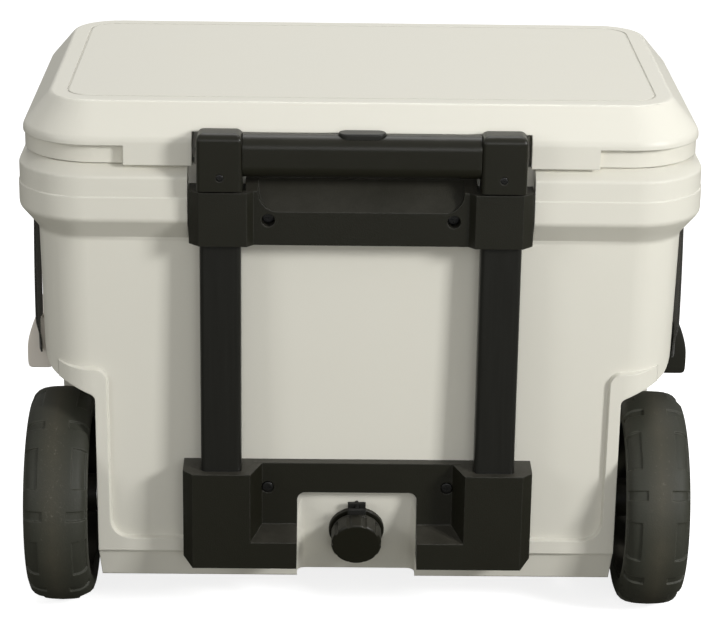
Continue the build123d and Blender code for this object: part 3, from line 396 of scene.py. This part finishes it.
def coated_tube():
    """Powder-coated tube: satin black with long rub marks up and down, and grey edges that are wear and
    painted highlight.
    """
    material, tree, shader = new_material("tube_powder_coat")
    stretch = tree.nodes.new("ShaderNodeMapping")
    stretch.inputs["Scale"].default_value = (1.0, 1.0, 0.03)
    tree.links.new(object_coordinates(tree), stretch.inputs["Vector"])
    streaks = noise_node(tree, stretch.outputs["Vector"], 420.0, 4.0, 0.6)
    base = mix_colour(tree, streaks, (0.0080, 0.0080, 0.0066), (0.0140, 0.0140, 0.0118))
    # Grey edges: wear and painted highlight.
    edges = add_group(tree, EDGE_WEAR_AND_HIGHLIGHT, Amount=0.35, Scale=60.0, Radius=1.0 * MM)
    base = mix_colour(tree, edges["Mask"], base, (0.10, 0.10, 0.095))
    tree.links.new(base, shader.inputs["Base Color"])
    rough = math_node(tree, "ADD", math_node(tree, "MULTIPLY", streaks, 0.18), 0.24)
    tree.links.new(rough, shader.inputs["Roughness"])
    shader.inputs["Specular IOR Level"].default_value = 0.3
    grain = add_group(tree, GRAIN, Scale=1500.0, Unevenness=0.1)["Height"]
    bump(tree, grain, 0.06, 0.0003, shader, edges["Normal"])
    return material


def steel(name, colour, rough):
    """Plated steel with fine scratches."""
    material, tree, shader = new_material(name)
    scratch = noise_node(tree, object_coordinates(tree), 700.0, 5.0, 0.7)
    dark = tuple(0.6 * part for part in colour)
    tree.links.new(mix_colour(tree, scratch, dark, colour), shader.inputs["Base Color"])
    shine = math_node(tree, "ADD", math_node(tree, "MULTIPLY", scratch, 0.2), rough)
    tree.links.new(shine, shader.inputs["Roughness"])
    shader.inputs["Metallic"].default_value = 1.0
    bump(tree, scratch, 0.05, 0.0002, shader)
    return material


def webbing():
    """Black polyester webbing, with painted shade in the weave's hollows."""
    material, tree, shader = new_material("webbing_black")
    weave = add_group(tree, WEAVE, Picks=1250.0, Ribs=2100.0)
    shade = mix_colour(tree, weave["Shade"], (0.010, 0.010, 0.008), (0.045, 0.044, 0.036))
    tree.links.new(shade, shader.inputs["Base Color"])
    shader.inputs["Roughness"].default_value = 0.78
    shader.inputs["Sheen Weight"].default_value = 0.25
    bump(tree, weave["Height"], 0.7, 0.0006, shader)
    return material


def foam():
    """Cut edge of closed-cell foam, seen only inside the housings."""
    material, tree, shader = new_material("foam_cells")
    cells = noise_node(tree, object_coordinates(tree), 500.0, 3.0, 0.6)
    shade = mix_colour(tree, cells, (0.70, 0.62, 0.40), (0.86, 0.80, 0.58))
    tree.links.new(shade, shader.inputs["Base Color"])
    shader.inputs["Roughness"].default_value = 0.9
    bump(tree, cells, 0.3, 0.001, shader)
    return material


BONE = (0.715, 0.700, 0.625)
BONE_WARM = (0.695, 0.675, 0.592)
BLACK = (0.0082, 0.0080, 0.0044)
BLACK_WARM = (0.0120, 0.0116, 0.0068)
# Grey for the edges of black parts: worn edges and painted highlight.
WORN_AND_HIGHLIGHT_GREY = (0.15, 0.15, 0.135)

# Each pair is the colour of the rubbed edges, which is also a painted highlight, and how much of it shows.
BONE_WEAR_AND_HIGHLIGHT = ((0.80, 0.79, 0.74), 0.25)
LINER_WEAR_AND_HIGHLIGHT = ((0.82, 0.81, 0.78), 0.2)
PALE_GRIP_WEAR_AND_HIGHLIGHT = ((0.80, 0.76, 0.70), 0.2)
BLACK_WEAR_AND_HIGHLIGHT = (WORN_AND_HIGHLIGHT_GREY, 0.5)
GRAINED_WEAR_AND_HIGHLIGHT = (WORN_AND_HIGHLIGHT_GREY, 0.45)
SATIN_WEAR_AND_HIGHLIGHT = (WORN_AND_HIGHLIGHT_GREY, 0.40)
SOFT_WEAR_AND_HIGHLIGHT = (WORN_AND_HIGHLIGHT_GREY, 0.3)

bone_plastic = moulded_plastic("bone_plastic_satin", BONE, BONE_WARM, 0.44, 1100.0, 0.10, BONE_WEAR_AND_HIGHLIGHT)
bone_top = moulded_plastic("bone_plastic_lid", BONE, BONE_WARM, 0.40, 1100.0, 0.08, BONE_WEAR_AND_HIGHLIGHT)
liner_plastic = moulded_plastic("liner_plastic_white", (0.80, 0.79, 0.75), (0.77, 0.76, 0.71), 0.35,
                                700.0, 0.05, LINER_WEAR_AND_HIGHLIGHT)
bone_grip = moulded_plastic("bone_grip_soft", (0.76, 0.71, 0.64), (0.72, 0.67, 0.60), 0.50,
                            900.0, 0.10, PALE_GRIP_WEAR_AND_HIGHLIGHT)
black_plastic = moulded_plastic("black_plastic_grained", BLACK, BLACK_WARM, 0.42, 900.0, 0.30,
                                GRAINED_WEAR_AND_HIGHLIGHT, 0.25)
grip_plastic = moulded_plastic("grip_plastic_satin", BLACK, BLACK_WARM, 0.36, 1200.0, 0.16, SATIN_WEAR_AND_HIGHLIGHT, 0.12)
black_grip = moulded_plastic("black_grip_soft", BLACK, BLACK_WARM, 0.50, 900.0, 0.20, BLACK_WEAR_AND_HIGHLIGHT, 0.20)
drain_plastic = moulded_plastic("drain_plastic_black", BLACK, BLACK_WARM, 0.40, 900.0, 0.22, BLACK_WEAR_AND_HIGHLIGHT, 0.20)
button_plastic = moulded_plastic("button_plastic_satin", (0.013, 0.013, 0.011), (0.019, 0.019, 0.017), 0.34,
                                 1500.0, 0.10, SATIN_WEAR_AND_HIGHLIGHT)
hub_plastic = moulded_plastic("hub_plastic_black", BLACK, BLACK_WARM, 0.48, 800.0, 0.25, SATIN_WEAR_AND_HIGHLIGHT, 0.25)
black_rubber = moulded_plastic("black_rubber_matt", (0.010, 0.010, 0.009), (0.016, 0.016, 0.014), 0.62,
                               900.0, 0.25, SOFT_WEAR_AND_HIGHLIGHT)
tyre_material = tyre_rubber()
tube_material = coated_tube()
zinc = steel("zinc_plated_steel", (0.62, 0.62, 0.60), 0.25)
black_oxide = steel("black_oxide_steel", (0.05, 0.05, 0.05), 0.30)
webbing_material = webbing()
foam_material = foam()


# ================= pieces that keep their CAD shape =================
def both(name):
    return [name + "_left", name + "_right"]


def dress_all(names, material):
    for name in names:
        dress(name, material)


dress_all(["tub_insulation", "lid_insulation"], foam_material)
dress_all(both("inner_tube") + both("mid_tube"), tube_material)
dress_all(both("axle") + both("hinge_pin") + both("carry_pins"), zinc)
dress_all(["axle_washers", "axle_nuts", "button_spring", "release_rods"], zinc)
dress_all(["hinge_tub_screws", "hinge_lid_screws", "lower_bracket_screws", "upper_bracket_screws",
           "grip_cap_screws"], black_oxide)
dress_all(["lid_gasket", "drain_washer", "release_link"], black_rubber)

MOULDINGS = [
    (["tub_shell"], bone_plastic, 1.2 * MM),
    (["tub_liner", "lid_inner_panel"], liner_plastic, 0.8 * MM),
    (["lower_bracket", "upper_bracket"], black_plastic, 1.3 * MM),
    (both("grip_cap") + ["grip_bar"], grip_plastic, 0.7 * MM),
    (["release_button"], button_plastic, 0.4 * MM),
    (both("outer_tube"), tube_material, 0.4 * MM),
    (both("wheel_hub") + both("hub_cap"), hub_plastic, 0.8 * MM),
    (["drain_cap", "drain_spout"], drain_plastic, 0.5 * MM),
    (["drain_tether", "tether_anchor"], black_rubber, 0.4 * MM),
    (both("hinge_tub_leaf") + both("hinge_lid_leaf") + both("carry_lugs"), black_plastic, 0.5 * MM),
    (both("foot"), black_rubber, 1.2 * MM),
]
for names, material, width in MOULDINGS:
    for name in names:
        finish_moulding(name, material, width)

finish_moulding("lid_shell", bone_top, 1.0 * MM, segments=4, angle=18.0)


# ================= wheels =================
TYRE_STEPS = 168
TREAD_REPEATS = 7
LONG_WINDOW = 11
SHORT_WINDOW = (16, 19)
WINDOW_DEPTH = 1.9 * MM
TYRE_WIDTH = 62.0
# Distance outwards from the wheel's inner face and radius, in mm, from the bead to the tread's middle.
TYRE_HALF = [(3.0, 80.2), (0.9, 83.0), (0.2, 88.0), (0.5, 93.0), (2.4, 98.0), (5.6, 101.4), (10.0, 103.6),
             (15.5, 104.8), (20.5, 105.4)]
TYRE_PROFILE = TYRE_HALF + [(TYRE_WIDTH / 2, 105.9)]
TYRE_PROFILE += [(TYRE_WIDTH - out, radius) for out, radius in reversed(TYRE_HALF)]


def tyre_piece(side, long_centre):
    """Moulded tyre with long and short shoulder windows in turn; long_centre is in degrees from the top."""
    low, high = (Vector(corner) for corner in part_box("tyre_" + side))
    sign = 1.0 if side == "right" else -1.0
    inner_x = low.x if side == "right" else high.x
    axle = Vector((0.0, (low.y + high.y) / 2, (low.z + high.z) / 2))
    step = 2 * math.pi / TYRE_STEPS
    start = math.radians(long_centre) - LONG_WINDOW * step / 2
    back, up = -math.sin(start) * MM, math.cos(start) * MM
    points = [(inner_x + sign * out * MM, axle.y + back * radius, axle.z + up * radius)
              for out, radius in TYRE_PROFILE]
    edges = [(index, (index + 1) % len(points)) for index in range(len(points))]
    mesh = bpy.data.meshes.new("tyre_moulded_" + side)
    mesh.from_pydata(points, edges, [])
    piece = bpy.data.objects.new("tyre_moulded_" + side, mesh)
    bpy.context.collection.objects.link(piece)
    make_active(piece)
    bpy.ops.object.mode_set(mode="EDIT")
    bpy.ops.mesh.select_all(action="SELECT")
    bpy.ops.mesh.spin(steps=TYRE_STEPS, angle=2 * math.pi, center=axle, axis=(1, 0, 0))
    bpy.ops.mesh.select_all(action="SELECT")
    bpy.ops.mesh.remove_doubles(threshold=0.00005)
    bpy.ops.mesh.normals_make_consistent(inside=False)
    bpy.ops.mesh.select_mode(type="FACE")
    bpy.ops.mesh.select_all(action="DESELECT")
    shape = bmesh.from_edit_mesh(piece.data)
    repeat = TYRE_STEPS // TREAD_REPEATS
    for face in shape.faces:
        centre = face.calc_center_median()
        out = sign * (centre.x - inner_x) / MM
        radius = (Vector((0.0, centre.y, centre.z)) - axle).length / MM
        from_edge = min(out, TYRE_WIDTH - out)
        turn = math.atan2(axle.y - centre.y, centre.z - axle.z) - start
        place = int((turn % (2 * math.pi)) / step) % repeat
        in_long = place < LONG_WINDOW and from_edge < 15.5
        in_short = SHORT_WINDOW[0] <= place < SHORT_WINDOW[1] and from_edge < 20.5
        face.select = (in_long or in_short) and radius > 92.0
    bmesh.update_edit_mesh(piece.data)
    bpy.ops.mesh.inset(thickness=0.9 * MM, depth=0.0)
    bpy.ops.mesh.inset(thickness=0.5 * MM, depth=-WINDOW_DEPTH)
    bpy.ops.mesh.select_mode(type="VERT")
    bpy.ops.object.mode_set(mode="OBJECT")
    rounding = piece.modifiers.new("rounding", "BEVEL")
    rounding.width = 0.35 * MM
    rounding.segments = 2
    rounding.limit_method = "ANGLE"
    rounding.angle_limit = math.radians(35.0)
    apply_modifiers(piece)
    smooth(piece, 40.0)
    set_material(piece, tyre_material)
    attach(piece, "wheel_" + side)
    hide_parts("tyre_" + side)
    return piece


for side, long_centre in (("left", 54.3), ("right", 40.5)):
    tyre_piece(side, long_centre)


# ================= screws with a cross recess =================
RECESS_BAR = (1.25, 0.28)  # length and thickness of a recess's bar, as shares of the head's radius
HEAD_PROUD = 0.4 * MM
HEAD_THICKNESS = 2.2 * MM


def cross_head(name, body, radius, thickness, places):
    """Pan heads with a cross recess, at places given as the middle of each head's near face."""
    pieces = []
    for place in places:
        clear_selection()
        bpy.ops.mesh.primitive_cylinder_add(vertices=48, radius=radius, depth=thickness,
                                            location=Vector(place) + Vector((0, thickness / 2, 0)),
                                            rotation=(math.pi / 2, 0, 0))
        head = bpy.context.object
        settle(head)
        edge = head.modifiers.new("crown", "BEVEL")
        edge.width = thickness * 0.4
        edge.segments = 4
        edge.limit_method = "ANGLE"
        apply_modifiers(head)
        for wide, tall in (RECESS_BAR, RECESS_BAR[::-1]):
            clear_selection()
            bpy.ops.mesh.primitive_cube_add(size=1.0, location=Vector(place))
            bar = bpy.context.object
            bar.scale = (radius * wide, thickness * 1.1, radius * tall)
            settle(bar)
            cut = head.modifiers.new("recess", "BOOLEAN")
            cut.operation = "DIFFERENCE"
            cut.solver = "EXACT"
            cut.object = bar
            apply_modifiers(head)
            bpy.data.objects.remove(bar, do_unlink=True)
        pieces.append(head)
    clear_selection()
    for head in pieces:
        head.select_set(True)
    bpy.context.view_layer.objects.active = pieces[0]
    bpy.ops.object.join()
    piece = bpy.context.view_layer.objects.active
    piece.name = name
    smooth(piece, 30.0)
    set_material(piece, black_oxide)
    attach(piece, body)
    return piece


def pair_of_heads(node):
    """Cross-recessed heads at the near ends of a pair of screws."""
    low, high = (Vector(corner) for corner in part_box(node))
    radius = (high.z - low.z) / 2
    z = (low.z + high.z) / 2
    y = low.y - HEAD_PROUD
    return cross_head(node + "_heads", body_name(node), radius, HEAD_THICKNESS,
                      [(low.x + radius, y, z), (high.x - radius, y, z)])


for screws in ("lower_bracket_screws", "upper_bracket_screws", "grip_cap_screws"):
    pair_of_heads(screws)


# ================= carry handles =================
STRAP_WIDTH = 25.0 * MM
STRAP_THICKNESS = 1.9 * MM
STRAP_LEAN = 7.5  # degrees that a strap turns on its way down
LOOP_RADIUS = 3.7 * MM
CROSSING = 0.80  # share of the way down where a strap turns back before the grip


def carry_strap(side, index):
    """One webbing strap, from the pin under the rim down into the grip, with a slight twist."""
    low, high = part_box("carry_straps_" + side)
    sign = 1.0 if side == "right" else -1.0
    near_y = low[1] + STRAP_WIDTH / 2
    far_y = high[1] - STRAP_WIDTH / 2
    middle_y = near_y if index == 0 else far_y
    centre_x = (low[0] + high[0]) / 2
    length = high[2] - low[2]
    clear_selection()
    bpy.ops.mesh.primitive_grid_add(x_subdivisions=8, y_subdivisions=48, size=1.0)
    piece = bpy.context.object
    piece.name = f"webbing_strap_{side}_{index}"
    for vertex in piece.data.vertices:
        across = vertex.co.x * STRAP_WIDTH
        down = 0.5 - vertex.co.y
        if down < CROSSING:
            twist = math.radians(STRAP_LEAN) * math.sin(math.pi / 2 * min(1.0, down / 0.7))
        else:
            turned = math.cos(math.pi * min(1.0, (down - CROSSING) / 0.14))
            twist = math.radians(-3.0 + (STRAP_LEAN + 3.0) * turned)
        narrow = 1.0 - 0.45 * max(0.0, 1.0 - abs(down - 0.89) / 0.12)
        x = centre_x - across * math.sin(twist) * narrow * sign
        y = middle_y + across * math.cos(twist) * narrow
        vertex.co = Vector((x, y, high[2] - 1.5 * MM - down * (length - 1.5 * MM)))
    thick = piece.modifiers.new("thickness", "SOLIDIFY")
    thick.thickness = STRAP_THICKNESS
    thick.offset = 0.0
    edge = piece.modifiers.new("selvedge", "BEVEL")
    edge.width = 0.5 * MM
    edge.segments = 2
    edge.limit_method = "ANGLE"
    apply_modifiers(piece)
    clear_selection()
    bpy.ops.mesh.primitive_cylinder_add(vertices=32, radius=LOOP_RADIUS, depth=STRAP_WIDTH,
                                        location=(centre_x, middle_y, high[2] - LOOP_RADIUS),
                                        rotation=(math.pi / 2, 0, 0))
    loop = bpy.context.object
    settle(loop)
    piece.select_set(True)
    bpy.context.view_layer.objects.active = piece
    bpy.ops.object.join()
    smooth(piece, 40.0)
    set_material(piece, webbing_material)
    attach(piece, "carry_handle_" + side)
    return piece


EAR_LENGTH = 27.0 * MM
EAR_HEIGHT = 24.0 * MM


def carry_grip(side, material):
    """Moulded grip with a tapered ear round the end of each strap."""
    low, high = (Vector(corner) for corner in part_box("carry_grip_" + side))
    size = high - low
    middle = (low + high) / 2
    clear_selection()
    bpy.ops.mesh.primitive_cube_add(size=1.0, location=middle)
    piece = bpy.context.object
    piece.name = "carry_grip_moulded_" + side
    piece.scale = (size.x * 1.16, size.y, size.z * 1.04)
    settle(piece)
    bpy.ops.object.mode_set(mode="EDIT")
    edge = 1.5 * MM
    for y in (low[1] + edge, low[1] + EAR_LENGTH, high[1] - EAR_LENGTH, high[1] - edge):
        bpy.ops.mesh.select_all(action="SELECT")
        bpy.ops.mesh.bisect(plane_co=(0, y, 0), plane_no=(0, 1, 0))
    for z in (low[2] + 2.5 * MM, middle[2]):
        bpy.ops.mesh.select_all(action="SELECT")
        bpy.ops.mesh.bisect(plane_co=(0, 0, z), plane_no=(0, 0, 1))
    for share in (0.28, 0.72):
        bpy.ops.mesh.select_all(action="SELECT")
        bpy.ops.mesh.bisect(plane_co=(low[0] + share * size.x, 0, 0), plane_no=(1, 0, 0))
    mesh = bmesh.from_edit_mesh(piece.data)
    for face in mesh.faces:
        centre = face.calc_center_median()
        at_end = centre.y < low[1] + EAR_LENGTH or centre.y > high[1] - EAR_LENGTH
        face.select = face.normal.z > 0.9 and at_end
    bmesh.update_edit_mesh(piece.data)
    bpy.ops.mesh.extrude_region_move(TRANSFORM_OT_translate={"value": (0, 0, EAR_HEIGHT)})
    mesh = bmesh.from_edit_mesh(piece.data)
    for vertex in mesh.verts:
        if vertex.co.z > high[2] + 10.0 * MM:
            end = low[1] + EAR_LENGTH / 2 if vertex.co.y < middle[1] else high[1] - EAR_LENGTH / 2
            vertex.co.x = middle[0] + (vertex.co.x - middle[0]) * 0.36
            vertex.co.y = end + (vertex.co.y - end) * 0.86
        elif vertex.co.z < low[2] + 1.0 * MM:
            vertex.co.x = middle[0] + (vertex.co.x - middle[0]) * 0.84
    bmesh.update_edit_mesh(piece.data)
    bpy.ops.object.mode_set(mode="OBJECT")
    rounding = piece.modifiers.new("rounding", "SUBSURF")
    rounding.levels = 3
    apply_modifiers(piece)
    smooth(piece, 60.0)
    set_material(piece, material)
    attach(piece, "carry_handle_" + side)
    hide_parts("carry_grip_" + side)
    return piece


for side, material, slot in (("left", bone_grip, "bone_grip"), ("right", black_grip, "black_grip")):
    first = carry_strap(side, 0)
    carry_strap(side, 1)
    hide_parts("carry_straps_" + side)
    carry_grip(side, material)


# ================= floor, light and camera =================
def studio_floor():
    """Pale floor that throws less light back than it shows."""
    material, tree, shader = new_material("pale_floor_paint")
    shader.inputs["Base Color"].default_value = (0.12, 0.115, 0.09, 1.0)
    shader.inputs["Roughness"].default_value = 0.9
    seen = tree.nodes.new("ShaderNodeBsdfDiffuse")
    seen.inputs["Color"].default_value = (0.62, 0.62, 0.62, 1.0)
    glow = tree.nodes.new("ShaderNodeEmission")
    glow.inputs["Color"].default_value = (1.0, 1.0, 1.0, 1.0)
    glow.inputs["Strength"].default_value = 0.80
    total = tree.nodes.new("ShaderNodeAddShader")
    tree.links.new(seen.outputs[0], total.inputs[0])
    tree.links.new(glow.outputs[0], total.inputs[1])
    path = tree.nodes.new("ShaderNodeLightPath")
    choose = tree.nodes.new("ShaderNodeMixShader")
    tree.links.new(path.outputs["Is Camera Ray"], choose.inputs[0])
    tree.links.new(shader.outputs[0], choose.inputs[1])
    tree.links.new(total.outputs[0], choose.inputs[2])
    tree.links.new(choose.outputs[0], tree.nodes["Material Output"].inputs["Surface"])
    return material


clear_selection()
bpy.ops.mesh.primitive_plane_add(size=30.0, location=(0, 0, 0))
floor = bpy.context.object
floor.name = "pale_floor"
set_material(floor, studio_floor())

world = bpy.data.worlds.new("soft_room")
scene.world = world
world.use_nodes = True
world.node_tree.nodes["Background"].inputs["Color"].default_value = (1.0, 1.0, 0.99, 1.0)
world.node_tree.nodes["Background"].inputs["Strength"].default_value = 0.34


def softbox(name, place, size, power):
    light = bpy.data.lights.new(name, "AREA")
    light.shape = "RECTANGLE"
    light.size = size[0]
    light.size_y = size[1]
    light.energy = power
    lamp = bpy.data.objects.new(name, light)
    bpy.context.collection.objects.link(lamp)
    lamp.location = place
    aim = Vector(SOFTBOX_TARGET) - Vector(place)
    lamp.rotation_euler = aim.to_track_quat("-Z", "Y").to_euler()


SOFTBOX_TARGET = (0, 0, 0.30)
# Name, place, width and height, and power in watts.
SOFTBOXES = [
    ("softbox_right", (1.9, -1.7, 1.35), (0.5, 0.5), 50.0),
    ("softbox_left", (-2.0, -1.7, 1.25), (0.8, 0.8), 12.0),
    ("softbox_top", (0.2, 0.9, 2.4), (2.0, 1.4), 30.0),
    ("softbox_front", (0.3, -3.2, 0.9), (1.6, 1.0), 17.0),
]
for name, place, size, power in SOFTBOXES:
    softbox(name, place, size, power)

CAMERA_PLACE = Vector((-0.0324, -2.4569, 1.1134))
CAMERA_YAW = math.radians(0.824)
CAMERA_PITCH = math.radians(19.187)
CAMERA_ROLL = math.radians(0.816)
CAMERA_LENS = 127.63


def aim_camera():
    forward = Vector((math.sin(CAMERA_YAW) * math.cos(CAMERA_PITCH),
                      math.cos(CAMERA_YAW) * math.cos(CAMERA_PITCH), -math.sin(CAMERA_PITCH)))
    level = Vector((math.cos(CAMERA_YAW), -math.sin(CAMERA_YAW), 0.0))
    upright = level.cross(forward)
    right = level * math.cos(CAMERA_ROLL) + upright * math.sin(CAMERA_ROLL)
    up = right.cross(forward)
    turn = Matrix((right, up, -forward)).transposed().to_4x4()
    data = bpy.data.cameras.new("studio_camera")
    data.lens = CAMERA_LENS
    data.sensor_width = 36.0
    camera = bpy.data.objects.new("studio_camera", data)
    bpy.context.collection.objects.link(camera)
    camera.matrix_world = Matrix.Translation(CAMERA_PLACE) @ turn
    scene.camera = camera


aim_camera()
scene.view_settings.view_transform = "Standard"
scene.view_settings.look = "None"
